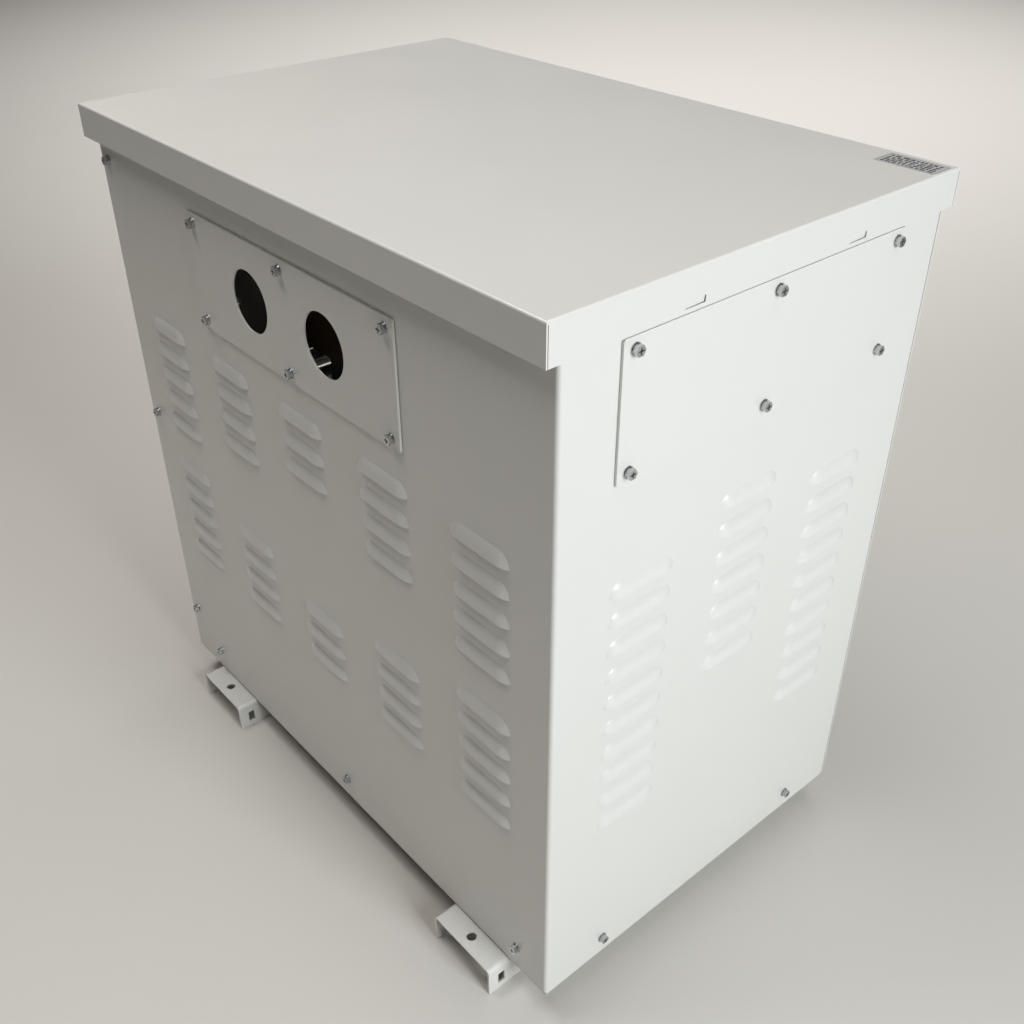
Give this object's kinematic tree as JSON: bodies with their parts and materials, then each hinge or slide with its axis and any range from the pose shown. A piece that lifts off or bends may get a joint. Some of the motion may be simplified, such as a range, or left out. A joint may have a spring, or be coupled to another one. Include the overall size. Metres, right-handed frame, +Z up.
{
  "type": "dry-type transformer in a ventilated floor-standing enclosure",
  "caption": "Dry-type transformer in a louvred sheet-metal floor enclosure with lift-off roof, cable entry plate, blank plates and two channel feet.",
  "frame": {"origin": "on the floor, at the middle of the enclosure in plan", "axes": "+Z up, -Y towards the face with the two cable holes, +X to the right as that face is looked at"},
  "size_m": [0.8188, 0.568, 0.8663],
  "materials": {
    "powder_coat": "fine orange-peel powder coat, satin",
    "roof_coat": "fine orange-peel powder coat, satin",
    "foot_coat": "fine orange-peel powder coat, satin",
    "tray_zinc": "powder coat, satin",
    "zinc_screw": "bright zinc plate",
    "rivet_steel": "zinc plate",
    "gasket_rubber": "foam rubber",
    "pad_rubber": "moulded rubber",
    "label_foil": "matt foil",
    "core_steel": "varnished silicon steel",
    "clamp_paint": "black enamel",
    "glass_board": "glass-fibre board",
    "copper_winding": "enamelled copper",
    "varnished_wrap": "varnished tape wrap",
    "phenolic": "phenolic laminate",
    "brass_stud": "turned brass",
    "lead_sleeve": "sleeved flexible lead",
    "copper_bar": "bare copper"
  },
  "bodies": {
    "enclosure": {"base_screws": "zinc_screw", "base_tray": "tray_zinc", "centre_coil_former": "glass_board", "centre_duct_spacers": "glass_board", "centre_high_voltage_winding": "varnished_wrap", "centre_low_voltage_winding": "copper_winding", "coil_support_blocks": "glass_board", "core_centre_limb": "core_steel", "core_left_limb": "core_steel", "core_lower_yoke": "core_steel", "core_mount_bolts": "zinc_screw", "core_right_limb": "core_steel", "core_upper_yoke": "core_steel", "corner_screws": "zinc_screw", "earth_strap": "copper_bar", "earth_stud": "brass_stud", "foot_bolts": "zinc_screw", "front_mounting_rail": "clamp_paint", "front_right_shell": "powder_coat", "hex_nuts": "zinc_screw", "input_leads": "lead_sleeve", "input_terminal_board": "phenolic", "left_coil_former": "glass_board", "left_duct_spacers": "glass_board", "left_foot_channel": "foot_coat", "left_high_voltage_winding": "varnished_wrap", "left_low_voltage_winding": "copper_winding", "lower_front_clamp": "clamp_paint", "lower_rear_clamp": "clamp_paint", "output_bars": "copper_bar", "output_terminal_board": "phenolic", "panel_rivet_nuts": "rivet_steel", "plate_rivet_nuts": "rivet_steel", "rear_left_shell": "powder_coat", "rear_mounting_rail": "clamp_paint", "right_coil_former": "glass_board", "right_duct_spacers": "glass_board", "right_foot_channel": "foot_coat", "right_high_voltage_winding": "varnished_wrap", "right_low_voltage_winding": "copper_winding", "terminal_board_brackets": "clamp_paint", "terminal_studs": "brass_stud", "upper_front_clamp": "clamp_paint", "upper_rear_clamp": "clamp_paint", "vibration_pads": "pad_rubber", "yoke_bolts": "zinc_screw"},
    "roof": {"roof_cover": "roof_coat", "rating_label": "label_foil"},
    "gland_cover": {"gland_plate": "powder_coat", "gland_plate_gasket": "gasket_rubber", "gland_plate_screws": "zinc_screw"},
    "right_cover": {"right_blank_plate": "powder_coat", "right_plate_gasket": "gasket_rubber", "right_plate_screws": "zinc_screw"},
    "rear_cover": {"rear_blank_plate": "powder_coat", "rear_plate_gasket": "gasket_rubber", "rear_plate_screws": "zinc_screw"},
    "left_cover": {"left_blank_plate": "powder_coat", "left_plate_gasket": "gasket_rubber", "left_plate_screws": "zinc_screw"}
  },
  "joints": [
    {"name": "roof_lift", "type": "slide", "parent": "enclosure", "child": "roof", "axis": [0, 0, 1], "range_m": [0, 0.15]},
    {"name": "gland_plate_removal", "type": "slide", "parent": "enclosure", "child": "gland_cover", "axis": [0, -1, 0], "range_m": [0, 0.08]},
    {"name": "right_plate_removal", "type": "slide", "parent": "enclosure", "child": "right_cover", "axis": [1, 0, 0], "range_m": [0, 0.08]},
    {"name": "rear_plate_removal", "type": "slide", "parent": "enclosure", "child": "rear_cover", "axis": [0, 1, 0], "range_m": [0, 0.08]},
    {"name": "left_plate_removal", "type": "slide", "parent": "enclosure", "child": "left_cover", "axis": [-1, 0, 0], "range_m": [0, 0.08]}
  ]
}
